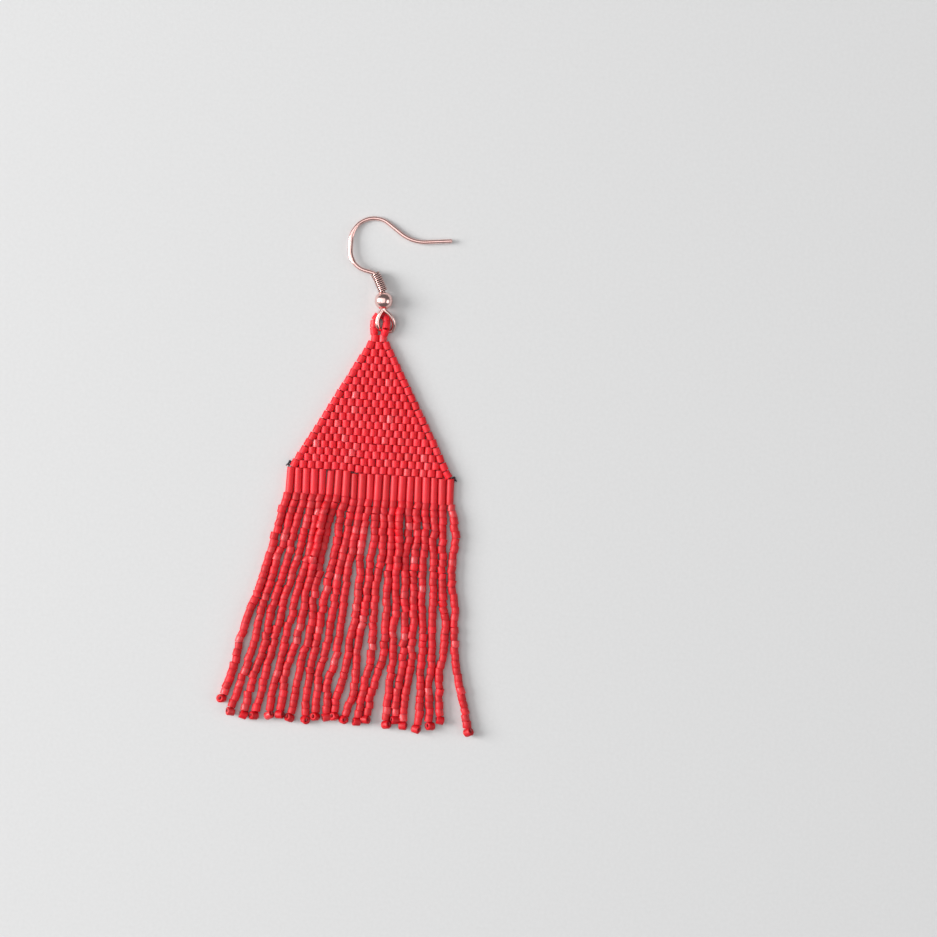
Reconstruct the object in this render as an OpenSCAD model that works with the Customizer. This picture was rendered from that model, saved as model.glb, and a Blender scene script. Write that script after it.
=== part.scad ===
// Beaded fringe earring, lying flat as it is put down. An ear wire ends in a closed wire
// loop; a ball and a wire coil sit on it. A loop of seed beads hangs in the wire loop and
// carries a brick stitch triangle, a row of bugle beads and a fringe of bead strands.
// Millimetres. The surface is z = 0. The y axis is the earring's middle line and points
// to the ear wire; x points to the right as seen from above. The origin is the middle of
// the whole earring's box, on the surface.

/* [Ear wire] */
// Diameter of the ear wire
wire_d = 0.8; // [0.7:0.05:0.8]
// Radius of the big bend that goes over the ear
ear_bend_r = 4.6; // [4.4:0.1:5]
// Straight length of the tail that goes through the ear
tail_l = 5.2; // [4:0.2:8]
// Diameter of the metal ball
ball_d = 3.6; // [3.4:0.1:3.7]
// Diameter of the hole through the ball
ball_hole_d = 1.5; // [1.4:0.05:1.6]

/* [Coil] */
// Diameter of the wire that is wound into the coil
coil_wire_d = 0.36; // [0.3:0.01:0.36]
// Distance from one turn to the next
coil_pitch = 0.385; // [0.38:0.005:0.385]
// Number of turns
coil_turns = 10; // [6:0.5:10]
// Radius of the turns, to the middle of their wire
coil_r = 0.8; // [0.78:0.01:0.85]

/* [Beadwork] */
// Distance between the middles of two beads in a row
bead_pitch = 1.6; // [1.58:0.01:1.65]
// Distance from one row of beads to the next
row_pitch = 1.45; // [1.4:0.01:1.45]
// Thickness of the beadwork, which is a seed bead's diameter
bead_d = 1.5; // [1.4:0.05:1.5]
// Length of a seed bead along its hole
bead_l = 1.38; // [1.3:0.01:1.38]
// Thickness of the bead strands of the fringe and of the bead loop
strand_d = 1.4; // [1.3:0.05:1.4]
// Length of the bugle beads
bugle_l = 5.2; // [4.5:0.1:6]
// Diameter of the bugle beads
bugle_d = 1.45; // [1.3:0.05:1.5]
// Diameter of the hole through a bugle bead
bugle_hole_d = 0.8; // [0.6:0.05:0.9]
// Usual length of a strand of the fringe
fringe_l = 45; // [30:1:60]

/* [Hidden] */
$fn = 48;
gap = 0.1;
joint_extra = 0.02;
joint_sides = 24;

// Ear wire: a bending chart from the ball's middle to the tip of the tail.
// Each row is a straight run, then a bend: its radius and its turn, left positive.
RUN = 0;
RADIUS = 1;
TURN = 2;
wire_bends = [
    [0, 9.6, 33],
    [0, 1.0, 55],
    [0, 4.4, -92],
    [2.0, ear_bend_r, -126],
    [3.3, 7.3, 42],
    [tail_l, 0, 0],
];
ear_bend = 3;
ball_at = [0.5, 33.6];
ball_heading = 94;
// How far up the earring's line the ear wire reaches above the ball's middle
wire_reach = bend_top(ear_bend) - ball_at.y;
// The ear wire leans from the ball's middle down to the surface at the top of its bend
wire_lean = asin((ball_d / 2 - wire_d / 2 - gap / 4) / wire_reach);

// The coil starts a hair above the ball
coil_start = ball_d / 2 + coil_wire_d / 2 + joint_extra;
coil_steps = 12;
coil_sides = 6;

// The wire loop's route below the ball, x, y and z of the wire's middle: out of the ball,
// over the top bead and down through the bead loop, then under its right side and back up
loop_down = [
    [0.5, 32.7, 1.87], [0.45, 32.1, 1.93], [0.22, 31.55, 1.98], [-0.15, 31, 2.02],
    [-0.5, 30.35, 2], [-0.7, 29.6, 1.95], [-0.65, 28.85, 1.8], [-0.4, 28.35, 1.5],
    [-0.1, 28.05, 1.1], [0.2, 27.9, 0.72], [0.6, 27.8, 0.48], [1.2, 27.75, 0.42],
];
loop_up = [
    [1.8, 27.65, 0.42], [2.3, 27.75, 0.5], [2.65, 28.2, 0.72], [2.8, 29, 1.1],
    [2.6, 29.85, 1.45], [2.1, 30.65, 1.7], [1.5, 31.2, 1.85], [0.98, 31.6, 1.93],
    [0.72, 32.1, 1.93], [0.62, 32.6, 1.9],
];
loop_route = concat([[ball_at.x, ball_at.y, ball_d / 2]], loop_down, loop_up);
// The point of the route, near the loop's lowest one, where its two lengths meet
loop_joint = len(loop_down) - 1;
loop_sides = 10;

// The bead loop's route, x, y and z of its thread: up the left side, over, down the right
bead_loop_route = [
    [-1.2, 27, 0.72], [-1.24, 27.6, 0.72], [-1.38, 28.5, 0.72], [-1.35, 29.3, 0.72],
    [-1.1, 30.1, 0.72], [-0.6, 30.75, 0.72], [0.1, 31, 0.75], [0.75, 30.8, 0.85],
    [1.15, 30.2, 1.05], [1.3, 29.4, 1.35], [1.3, 28.6, 1.6], [1.2, 27.9, 1.7],
    [1.05, 27.4, 1.6], [0.9, 27.02, 1.45],
];

// Fringe chart, a row for each strand from left to right: its length, then how far it
// lies from the middle line at its top and every 4 mm down, and last at its end
LENGTH = 0;
PLACES = 1;
chart_l = 45;
chart_pitch = 1.6;
chart_step = 4;
fringe_chart = [
    [42.0, -16.6, -17.3, -18.1, -19.1, -20.1, -21.1, -22.1, -23.5, -24.5, -25.2, -26.4, -26.9],
    [44.5, -14.9, -15.5, -16.2, -17.2, -18.3, -19.3, -20.1, -21.0, -21.9, -23.0, -24.2, -25.0],
    [45.0, -13.1, -13.7, -14.5, -15.3, -16.4, -17.6, -18.2, -18.8, -19.6, -20.7, -21.6, -22.4],
    [45.2, -11.3, -11.7, -12.4, -13.3, -14.8, -15.7, -16.4, -17.0, -17.7, -18.5, -19.3, -20.4],
    [44.9,  -9.8, -10.2, -10.9, -11.5, -12.4, -13.2, -14.2, -15.0, -15.6, -16.3, -17.1, -17.6],
    [44.5,  -8.5,  -9.1,  -9.6, -10.1, -10.8, -11.4, -11.8, -12.6, -13.6, -14.5, -14.9, -15.4],
    [45.0,  -6.9,  -7.7,  -8.4,  -9.1,  -9.3,  -9.8, -10.0, -10.4, -11.4, -12.0, -12.6, -13.6],
    [45.4,  -5.0,  -5.5,  -5.8,  -6.5,  -7.1,  -7.5,  -8.1,  -8.8,  -9.3,  -9.8, -10.1, -10.1],
    [44.7,  -3.4,  -3.9,  -4.2,  -4.8,  -5.3,  -5.6,  -6.1,  -6.3,  -7.1,  -7.7,  -8.0,  -8.2],
    [44.7,  -1.8,  -2.0,  -2.4,  -3.0,  -3.5,  -3.6,  -3.9,  -4.2,  -4.7,  -5.8,  -6.0,  -5.9],
    [44.3,  -0.2,  -0.4,  -0.9,  -0.9,  -1.1,  -1.1,  -1.6,  -2.1,  -2.2,  -3.0,  -3.9,  -4.3],
    [44.9,   1.4,   1.4,   1.3,   0.8,   0.7,   0.7,   0.3,  -0.2,  -0.4,  -0.5,  -1.2,  -2.5],
    [45.2,   3.1,   3.2,   3.1,   2.8,   2.5,   2.3,   2.4,   2.5,   2.3,   1.6,   0.8,   0.0],
    [44.7,   4.7,   4.8,   4.8,   4.7,   4.5,   4.6,   4.7,   4.8,   4.6,   3.5,   2.7,   2.0],
    [45.4,   6.2,   6.1,   6.3,   6.5,   6.3,   6.4,   6.7,   6.6,   6.6,   6.3,   6.2,   6.1],
    [44.3,   7.9,   8.0,   8.1,   7.9,   8.1,   8.3,   8.6,   8.5,   8.5,   8.2,   7.9,   7.8],
    [45.4,   9.5,   9.6,   9.9,   9.8,   9.9,  10.2,  10.3,  10.5,  10.4,   9.7,   9.4,   9.3],
    [45.9,  11.1,  11.4,  11.4,  11.4,  11.6,  11.8,  12.1,  12.3,  12.4,  12.4,  12.6,  12.1],
    [45.1,  12.8,  13.2,  13.5,  13.5,  13.8,  13.9,  14.1,  14.3,  14.2,  14.0,  14.4,  15.0],
    [43.8,  14.5,  14.8,  15.1,  15.2,  15.5,  16.0,  16.6,  16.6,  16.2,  16.1,  16.4,  16.6],
    [45.8,  16.4,  17.1,  17.4,  17.3,  17.3,  18.2,  18.5,  18.6,  19.1,  19.9,  21.3,  22.7],
];
// The strands that ride up on their neighbours where they crowd them
strands_on_top = [6, 15];
strand_sides = 8;
strand_room = strand_d + 1.5 * gap;

strands = len(fringe_chart);
last_place = len(fringe_chart[0]) - 1 - PLACES;
base_beads = strands - 1;
top_beads = 2;
rows = base_beads - top_beads + 1;
core_t = 1;
bugle_top = -bead_l / 2 - gap;
fringe_top = bugle_top - bugle_l - gap;

// Middle of the whole box, which becomes the origin
box_left = min([for (i = [1:strands]) min([for (p = strand_route(i)) p.x])]) - strand_d / 2;
box_right = max([for (i = [1:strands]) max([for (p = strand_route(i)) p.x])]) + strand_d / 2;
box_bottom = min([for (i = [1:strands]) min([for (p = strand_route(i)) p.y])]);
box_top = ball_at.y + wire_reach * cos(wire_lean) + wire_d / 2;
box_middle = [(box_left + box_right) / 2, (box_bottom + box_top) / 2];

function two_digits(i) = str(i < 10 ? "0" : "", i);

function unit(v) = v / norm(v);

// Place and heading at the start of a row of the bending chart
function chart_place(i) = i == 0 ? [ball_at, ball_heading] :
    let (before = chart_place(i - 1), at = before[0], h = before[1],
         bend = wire_bends[i - 1], side = sign(bend[TURN]) * bend[RADIUS])
    [at + bend[RUN] * [cos(h), sin(h)]
        + side * [sin(h + bend[TURN]) - sin(h), cos(h) - cos(h + bend[TURN])],
     h + bend[TURN]];

// Highest y that the middle of the wire reaches in a right-hand bend
function bend_top(i) =
    let (start = chart_place(i), at = start[0], h = start[1], bend = wire_bends[i])
    at.y + bend[RUN] * sin(h) + bend[RADIUS] * (1 - cos(h));

// Direction of a route at point i: from the point before it to the point after it
function direction(route, i) =
    unit(route[min(i + 1, len(route) - 1)] - route[max(i - 1, 0)]);

// Ring of points round a place, square to a direction, one corner straight below
function ring(at, along, d, sides) =
    let (across = unit(cross(along, [0, 0, 1])), up = cross(across, along))
    [for (k = [0:sides - 1]) let (a = 360 * k / sides - 90)
        at + d / 2 * (cos(a) * across + sin(a) * up)];
function rings_along(route, d, sides) =
    [for (i = [0:len(route) - 1]) ring(route[i], direction(route, i), d, sides)];

// Faces of a closed tube whose points come in rings
function tube_faces(rings, sides) = concat(
    [[for (k = [sides - 1:-1:0]) k]],
    [for (i = [0:rings - 2], k = [0:sides - 1]) let (n = (k + 1) % sides)
        [i * sides + k, i * sides + n, (i + 1) * sides + n, (i + 1) * sides + k]],
    [[for (k = [0:sides - 1]) (rings - 1) * sides + k]]
);

// Point on a smooth curve through a route, t of the way from point i to the next
function curve_point(route, i, t) =
    let (a = route[max(i - 1, 0)], b = route[i], c = route[i + 1],
         d = route[min(i + 2, len(route) - 1)])
    b + t / 2 * (c - a + t * (2 * a - 5 * b + 4 * c - d + t * (3 * (b - c) + d - a)));

// The route with a number of points added on each stretch
function smooth(route, steps) = concat(
    [for (i = [0:len(route) - 2], s = [0:steps - 1]) curve_point(route, i, s / steps)],
    [route[len(route) - 1]]
);

// The fringe chart is drawn for a usual length and pitch, and stretches with them
function strand_x(i, place) = fringe_chart[i - 1][PLACES + place] * bead_pitch / chart_pitch;
function strand_l(i) = fringe_chart[i - 1][LENGTH] * fringe_l / chart_l;

// Sideways room that strand i has to strand k at a place
function crowding(i, k, place) =
    k < 1 || k > strands ? strand_room : abs(strand_x(i, place) - strand_x(k, place));

// Height of a strand's middle: on the surface, or raised onto a neighbour that it crowds
function strand_z(i, place) =
    let (room = min(crowding(i, i - 1, place), crowding(i, i + 1, place), strand_room),
         on_top = len(search(i, strands_on_top)) > 0)
    strand_d / 2 + (on_top ? sqrt(pow(strand_room, 2) - pow(room, 2)) : 0);

function strand_route(i) = [for (place = [0:last_place])
    let (down = place == last_place ? strand_l(i) : place * chart_step * fringe_l / chart_l)
    [strand_x(i, place), fringe_top - down, strand_z(i, place)]];

// Puts a piece drawn from the middle of the base row into the part's own frame
module on_earring() translate([-box_middle.x, -box_middle.y, 0]) children();

// Puts a piece drawn flat from the ball's middle into the leaning plane of the ear wire
module in_wire_plane()
    on_earring() translate([ball_at.x, ball_at.y, ball_d / 2]) rotate([-wire_lean, 0, 0])
        rotate(ball_heading) children();

module tube(rings, sides)
    polyhedron(
        points = [for (r = rings) each r],
        faces = tube_faces(len(rings), sides), convexity = 10
    );

// Wire bent from +x to one side: to the left, or mirrored to the right
module wire_bend(r, turn)
    mirror([0, turn < 0 ? 1 : 0, 0]) translate([0, r, 0]) rotate(-90)
        rotate_extrude(angle = abs(turn)) translate([r, 0]) circle(d = wire_d);

// The wire from row i of the bending chart to its end, drawn from the origin along +x
module bent_wire(i = 0) {
    bend = wire_bends[i];
    side = sign(bend[TURN]) * bend[RADIUS];
    joint_ball();
    if (bend[RUN] > 0) rotate([0, 90, 0]) cylinder(d = wire_d, h = bend[RUN]);
    if (bend[RADIUS] > 0) translate([bend[RUN], 0, 0]) wire_bend(bend[RADIUS], bend[TURN]);
    if (i + 1 < len(wire_bends))
        translate([bend[RUN] + side * sin(bend[TURN]), side * (1 - cos(bend[TURN])), 0])
            rotate(bend[TURN]) bent_wire(i + 1);
}

// A ball a hair wider than the wire, which joins two lengths of it
module joint_ball() sphere(d = wire_d + joint_extra, $fn = joint_sides);

// The closed loop under the ball, in two lengths of tube
module wire_loop() {
    rings = rings_along(smooth(loop_route, 2), wire_d, loop_sides);
    joint = 2 * loop_joint;
    tube([for (i = [0:joint]) rings[i]], loop_sides);
    translate(loop_route[loop_joint]) joint_ball();
    tube([for (i = [joint:len(rings) - 1]) rings[i]], loop_sides);
}

module ear_hook() color("rosybrown") {
    in_wire_plane() bent_wire();
    on_earring() wire_loop();
}

// A round ball turned in one piece with its hole
module ball_bead() color("rosybrown") in_wire_plane() rotate([0, 90, 0])
    rotate_extrude() intersection() {
        circle(d = ball_d);
        translate([ball_hole_d / 2, -ball_d / 2]) square([ball_d, ball_d]);
    }

// Point of the coil: the turn's angle, then the angle round the coil's own wire.
// The coil's middle line is the first bend of the ear wire.
function coil_point(turn, a) =
    let (r = wire_bends[0][RADIUS], out = coil_r + coil_wire_d / 2 * cos(a),
         along = coil_start + coil_pitch * turn / 360 + coil_wire_d / 2 * sin(a),
         lean = along / r * 180 / PI)
    [r * sin(lean) - out * cos(turn) * sin(lean),
     r * (1 - cos(lean)) + out * cos(turn) * cos(lean),
     out * sin(turn)];

module coil_wrap() color("rosybrown") in_wire_plane()
    tube([for (i = [0:coil_steps * coil_turns])
        [for (k = [0:coil_sides - 1]) coil_point(360 * i / coil_steps, 360 * k / coil_sides)]],
        coil_sides);

module hanging_loop() color("crimson") on_earring()
    tube(rings_along(smooth(bead_loop_route, 2), strand_d, strand_sides), strand_sides);

// One row of the triangle: a bar as long as its beads side by side, with round ends
module bead_row(beads) {
    reach = (beads - 1) * bead_pitch / 2;
    rotate([90, 0, 0]) linear_extrude(bead_l, center = true) {
        square([2 * reach, bead_d], center = true);
        for (side = [-1, 1]) translate([side * reach, 0]) circle(d = bead_d);
    }
}

// Brick stitch: each row is one bead shorter than the row below it. A thinner core
// joins the rows and leaves a groove between them.
module brick_stitch_panel() color("crimson") on_earring() translate([0, 0, bead_d / 2]) {
    top_y = (rows - 1) * row_pitch;
    for (row = [0:rows - 1])
        translate([0, row * row_pitch, 0]) bead_row(base_beads - row);
    linear_extrude(core_t, center = true) polygon([
        [-(base_beads - 1) * bead_pitch / 2, 0], [(base_beads - 1) * bead_pitch / 2, 0],
        [(top_beads - 1) * bead_pitch / 2, top_y], [-(top_beads - 1) * bead_pitch / 2, top_y],
    ]);
}

module bugle(i) color("crimson") on_earring()
    translate([(i - (strands + 1) / 2) * bead_pitch, bugle_top, bugle_d / 2])
        rotate([90, 0, 0]) difference() {
            cylinder(d = bugle_d, h = bugle_l);
            translate([0, 0, -gap]) cylinder(d = bugle_hole_d, h = bugle_l + 2 * gap);
        }

// The strand's rings all face up the earring, so that its top lies flat under its bugle
module strand(i) color("crimson") on_earring()
    tube([for (at = strand_route(i)) ring(at, [0, -1, 0], strand_d, strand_sides)],
        strand_sides);

ear_hook();
ball_bead();
coil_wrap();
hanging_loop();
brick_stitch_panel();
for (i = [1:strands]) {
    bugle(i);
    strand(i);
}
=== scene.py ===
# %% [markdown]
# # A beaded fringe earring, lying flat
#
# This lesson dresses a imported CAD model of an earring in Blender. The CAD model has plain
# solids: a tube for each string of beads, a stepped plate for the woven triangle, a round
# wire. Here each of them gets its real beads, threads and metal, as meshes that are worked
# out with numpy, and materials that are made of shader nodes.
#
# The first cell loads the model. The boxes of its nodes are read from it later, to place the
# dressed pieces. The dressed earring has to stay in it. Lengths in this script are in
# millimetres, and a mesh is turned into metres when it is made, because Blender and the CAD
# model both use metres. All chance numbers come from one seeded source, so the earring is
# the same in each run.

# %% Load the imported model
import math

import bpy
import numpy as np
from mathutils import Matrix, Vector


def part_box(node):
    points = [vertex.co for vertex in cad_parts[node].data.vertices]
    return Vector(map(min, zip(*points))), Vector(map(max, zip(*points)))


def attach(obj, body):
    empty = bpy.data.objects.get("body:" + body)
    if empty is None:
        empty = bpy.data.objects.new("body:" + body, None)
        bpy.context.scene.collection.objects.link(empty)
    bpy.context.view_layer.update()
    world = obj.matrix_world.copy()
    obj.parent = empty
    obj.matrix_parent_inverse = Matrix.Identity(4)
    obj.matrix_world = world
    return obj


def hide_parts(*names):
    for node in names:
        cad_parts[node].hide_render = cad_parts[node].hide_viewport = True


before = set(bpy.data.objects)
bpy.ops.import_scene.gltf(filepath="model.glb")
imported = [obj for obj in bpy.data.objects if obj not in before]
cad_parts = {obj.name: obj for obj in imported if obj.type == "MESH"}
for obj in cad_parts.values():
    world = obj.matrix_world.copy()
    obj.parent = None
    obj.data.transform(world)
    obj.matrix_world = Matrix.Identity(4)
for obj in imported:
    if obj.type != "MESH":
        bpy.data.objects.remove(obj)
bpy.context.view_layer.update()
MM = 0.001
CHANCE_SEED = 11
chance = np.random.default_rng(CHANCE_SEED)


def node_box(node):
    """Lowest and highest corner of a CAD node, in millimetres."""
    low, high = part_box(node)
    return np.array(low) / MM, np.array(high) / MM


print("the CAD model has", len(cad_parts), "nodes")

# %% [markdown]
# ## Where things are
#
# The earring's own middle line is the y axis, and the ear wire is at its upper end. Many
# places below are counted from the middle of the lowest row of woven beads. That place could
# be written here as a number. It is read from the CAD node of the woven triangle instead, so
# that the beads follow if the model is ever moved.

# %% Find the middle of the lowest row
BEAD_LENGTH = 1.38
panel_low, panel_high = node_box("brick_stitch_panel")
base_middle = np.array([
    (panel_low[0] + panel_high[0]) / 2,
    panel_low[1] + BEAD_LENGTH / 2,
    0.0,
])
print("the lowest row's middle is at", base_middle.round(3), "mm")

# %% [markdown]
# ## Lines through space
#
# Wires, threads and strings of beads all follow a line. A few measured points are enough
# for it: a cubic curve goes smoothly through them. A curve object could hold such a line
# too. Arrays are used because each bead has to know how far along the line it is, so three
# more helpers give the directions along a line, its running length, and the places at given
# lengths.

# %% Helpers for lines
CURVE_STEPS = 8


def unit(v):
    """Each row of v divided by its own length."""
    v = np.asarray(v, float)
    return v / np.linalg.norm(v, axis=-1, keepdims=True)


def smooth_curve(points, steps=CURVE_STEPS):
    """A smooth curve through points. Between b and c, with a before and d after them, the
    place is b + t/2 (c - a + t (2a - 5b + 4c - d + t (3(b - c) + d - a))), t from 0 to 1."""
    p = np.asarray(points, float)
    padded = np.vstack([p[:1], p, p[-1:]])
    a, b, c, d = (padded[k:len(p) - 1 + k, None, :] for k in range(4))
    t = (np.arange(steps) / steps)[None, :, None]
    curve = b + t / 2 * (c - a + t * (2 * a - 5 * b + 4 * c - d + t * (3 * (b - c) + d - a)))
    return np.vstack([curve.reshape(-1, p.shape[1]), p[-1:]])


def running_length(points):
    """Distance from the first point to each point, added up along the line."""
    steps = np.linalg.norm(np.diff(points, axis=0), axis=1)
    return np.concatenate([[0.0], np.cumsum(steps)])


def resampled(rows, run, lengths):
    """Rows of numbers that belong to the running lengths run, read off at other lengths."""
    return np.stack([np.interp(lengths, run, column) for column in rows.T], axis=1)


def at_lengths(points, lengths):
    """Places along a line of points at the given running lengths, straight between points."""
    return resampled(points, running_length(points), lengths)


def directions(points):
    """Direction of a line at each point: from the point before it to the point after it."""
    return unit(np.gradient(points, axis=0))


square_corner = smooth_curve([(0, 0), (1, 0), (1, 1)])
print("a smooth line round a corner of 1 and 1 is",
      running_length(square_corner)[-1].round(3), "long")

# %% [markdown]
# ## From arrays to a mesh
#
# A mesh needs corner places and faces. It could be built face by face with bmesh. Here both
# are arrays, and foreach_set copies a whole array at once, which is much faster than a loop
# in Python. Every piece rides on the body of the CAD model, and hides the CAD nodes that it
# stands for.
#
# Smooth shading mixes the directions of the faces round a corner. A small bead with few
# faces looks better when the exact directions are given, so a piece may bring its own.

# %% Helpers for meshes
def ring_faces(rings, sides):
    """Quads between neighbouring rings of corners: corner k of ring i has number
    i * sides + k, and each quad takes corners k and k + 1 of rings i and i + 1."""
    i, k = np.meshgrid(np.arange(rings - 1), np.arange(sides), indexing="ij")
    n = (k + 1) % sides
    quads = [i * sides + k, i * sides + n, (i + 1) * sides + n, (i + 1) * sides + k]
    return np.stack(quads, axis=-1).reshape(-1, 4)


def new_piece(name, points, faces, finish, slot=None, stands_for=(), values=None,
              normals=None):
    """A mesh object from corner places in millimetres and a list of face arrays. values
    are numbers kept at each corner for the material, normals its shading directions."""
    corners = np.concatenate([np.ravel(f) for f in faces]).astype(np.int32)
    sizes = np.concatenate([np.full(len(f), f.shape[1]) for f in faces])
    starts = np.concatenate([[0], np.cumsum(sizes)[:-1]]).astype(np.int32)
    mesh = bpy.data.meshes.new(name)
    mesh.vertices.add(len(points))
    mesh.vertices.foreach_set("co", (points * MM).astype(np.float32).ravel())
    mesh.loops.add(len(corners))
    mesh.loops.foreach_set("vertex_index", corners)
    mesh.polygons.add(len(sizes))
    mesh.polygons.foreach_set("loop_start", starts)
    mesh.polygons.foreach_set("use_smooth", np.ones(len(sizes), bool))
    mesh.update(calc_edges=True)
    for label, numbers in (values or {}).items():
        layer = mesh.attributes.new(label, "FLOAT", "POINT")
        layer.data.foreach_set("value", numbers.astype(np.float32).ravel())
    if normals is not None:
        mesh.normals_split_custom_set_from_vertices(normals.astype(np.float32))
    mesh.materials.append(finish)
    piece = bpy.data.objects.new(name, mesh)
    bpy.context.scene.collection.objects.link(piece)
    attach(piece, "root")
    if stands_for:
        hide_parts(*stands_for)
    return piece


print("three rings of four corners make", len(ring_faces(3, 4)), "quads")

# %% [markdown]
# ## A wire or a thread
#
# Both are a round section carried along a line. A curve object with a round bevel would do
# for a plain wire. This helper can also press the wire flat in one place, and the coil gives
# it the direction that faces away from the core. The section's ends are rounded by rings
# that get smaller, as a cut wire is after it has been filed.

# %% Helper for wires
UP = np.array([0.0, 0.0, 1.0])
# A rounded end: its length in radii, its rings, and, as a part of its length, how far from
# the very end the small flat face is that closes it
TIP = 0.5
TIP_RINGS = 4
TIP_GAP = 0.02


def swept(path, radius, sides, wide=1.0, flat=1.0, outward=None):
    """A tube round a path: the place is path(s) + r(s) (wide cos(a) across + flat sin(a) up).
    across is square to the path and to the vertical, or is the outward direction that is
    given, and up is square to the path and to across. across, up and the path's direction
    are right-handed in this order, so the faces point outward. At both ends r falls as a
    quarter ellipse over TIP radii. Returns corners and a list of faces."""
    path = np.asarray(path, float)
    run = running_length(path)
    reach = TIP * radius
    ends = reach * (1 - np.cos(np.linspace(0, np.pi / 2, TIP_RINGS + 1)))[1:]
    inner = run[(run > reach) & (run < run[-1] - reach)]
    lengths = np.concatenate([[TIP_GAP * reach], ends, inner, (run[-1] - ends)[::-1]])
    lengths = np.concatenate([lengths, [run[-1] - TIP_GAP * reach]])
    line = at_lengths(path, lengths)
    towards_end = np.minimum(lengths, run[-1] - lengths) / reach
    r = radius * np.sqrt(1 - (1 - np.clip(towards_end, 0, 1)) ** 2)
    along = directions(line)
    if outward is None:
        across = unit(np.cross(UP, along))
    else:
        across = unit(resampled(outward, run, lengths))
    up = np.cross(along, across)
    a = np.linspace(0, 2 * np.pi, sides, endpoint=False)[None, :, None]
    w = np.interp(lengths, run, np.broadcast_to(wide, run.shape))[:, None, None]
    f = np.interp(lengths, run, np.broadcast_to(flat, run.shape))[:, None, None]
    round_it = w * np.cos(a) * across[:, None, :] + f * np.sin(a) * up[:, None, :]
    points = line[:, None, :] + r[:, None, None] * round_it
    first = np.arange(sides)[None, ::-1]
    last = (len(line) - 1) * sides + np.arange(sides)[None, :]
    return points.reshape(-1, 3), [ring_faces(len(line), sides), first, last]


def joined(parts):
    """Several meshes as one: the corner numbers of each are moved up by those before it."""
    points, by_size, before = [], {}, 0
    for part_points, part_faces in parts:
        for f in part_faces:
            by_size.setdefault(f.shape[1], []).append(f + before)
        points.append(part_points)
        before += len(part_points)
    return np.vstack(points), [np.vstack(group) for group in by_size.values()]


rod_points, rod_faces = swept([(0, 0, 0), (0, 5, 0)], radius=0.5, sides=8)
print("a plain rod has", len(rod_points), "corners,", sum(len(f) for f in rod_faces), "faces")

# %% [markdown]
# ## Shader maths as plain sums
#
# A material is a net of nodes. Written out, each addition is a node with two links. This
# small class wraps a socket, so that a + b or 1 - a adds the Math node by itself. Colours
# are mixed by a Mix node, because a Math node would turn them grey.

# %% A class for shader sums
# The Mix node has sockets of several kinds: these are its factor, its colours and its result
MIX_FACTOR = 0
MIX_FIRST = 6
MIX_SECOND = 7
MIX_RESULT = 2


class Value:
    """The output of a shader node, with operators that add Math nodes."""

    def __init__(self, material, socket):
        self.material = material
        self.socket = socket

    def math(self, operation, *others):
        links = {k + 1: other for k, other in enumerate(others)}
        return node(self.material, "ShaderNodeMath", {"operation": operation},
                    {0: self, **links})

    def __add__(self, other):
        return self.math("ADD", other)

    def __sub__(self, other):
        return self.math("SUBTRACT", other)

    def __mul__(self, other):
        return self.math("MULTIPLY", other)

    __radd__ = __add__
    __rmul__ = __mul__

    def __rsub__(self, other):
        return self * -1.0 + other

    def held(self):
        """The value kept between 0 and 1."""
        return self.math("MAXIMUM", 0.0).math("MINIMUM", 1.0)

    def step(self, low, high):
        """0 below low, 1 above high, and smooth between them."""
        return node(self.material, "ShaderNodeMapRange", {"interpolation_type": "SMOOTHSTEP"},
                    {"Value": self, "From Min": low, "From Max": high})


def node(material, kind, settings=None, inputs=None, output=0):
    """Adds a node: its settings first, then numbers, colours or links for its sockets."""
    tree = material.node_tree
    made = tree.nodes.new(kind)
    for name, setting in (settings or {}).items():
        setattr(made, name, setting)
    for name, value in (inputs or {}).items():
        if isinstance(value, Value):
            tree.links.new(value.socket, made.inputs[name])
        else:
            made.inputs[name].default_value = value
    return Value(material, made.outputs[output]) if made.outputs else made


def mixed(factor, first, second):
    """A colour between two colours: first where the factor is 0, second where it is 1."""
    return node(factor.material, "ShaderNodeMix", {"data_type": "RGBA"},
                {MIX_FACTOR: factor, MIX_FIRST: first, MIX_SECOND: second}, output=MIX_RESULT)


# %% Helpers that start and finish a material
def new_finish(name):
    """An empty material with nodes, and the Object coordinates that its patterns use."""
    material = bpy.data.materials.new(name)
    material.use_nodes = True
    material.node_tree.nodes.clear()
    return material, node(material, "ShaderNodeTexCoord", output="Object")


def kept(material, label):
    """A number that a piece keeps at each of its corners, or 0 if it keeps none."""
    return node(material, "ShaderNodeAttribute", {"attribute_name": label}, output="Fac")


def noise(material, place, scale, detail=2.0, roughness=0.5):
    """Cloudy noise, about 0.5 on average. scale is how many clouds there are in a metre."""
    return node(material, "ShaderNodeTexNoise", {},
                {"Vector": place, "Scale": scale, "Detail": detail, "Roughness": roughness})


def surface(material, fixed, varying, height, bump):
    """Ends a material in a Principled shader. fixed holds what is the same all over, varying
    what is linked, and height goes through a Bump node that raises it by bump, in metres."""
    raised = node(material, "ShaderNodeBump", {},
                  {"Height": height, "Strength": 1.0, "Distance": bump})
    shader = node(material, "ShaderNodeBsdfPrincipled", {},
                  {**fixed, **varying, "Normal": raised})
    node(material, "ShaderNodeOutputMaterial", {}, {"Surface": shader})
    return material
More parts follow.
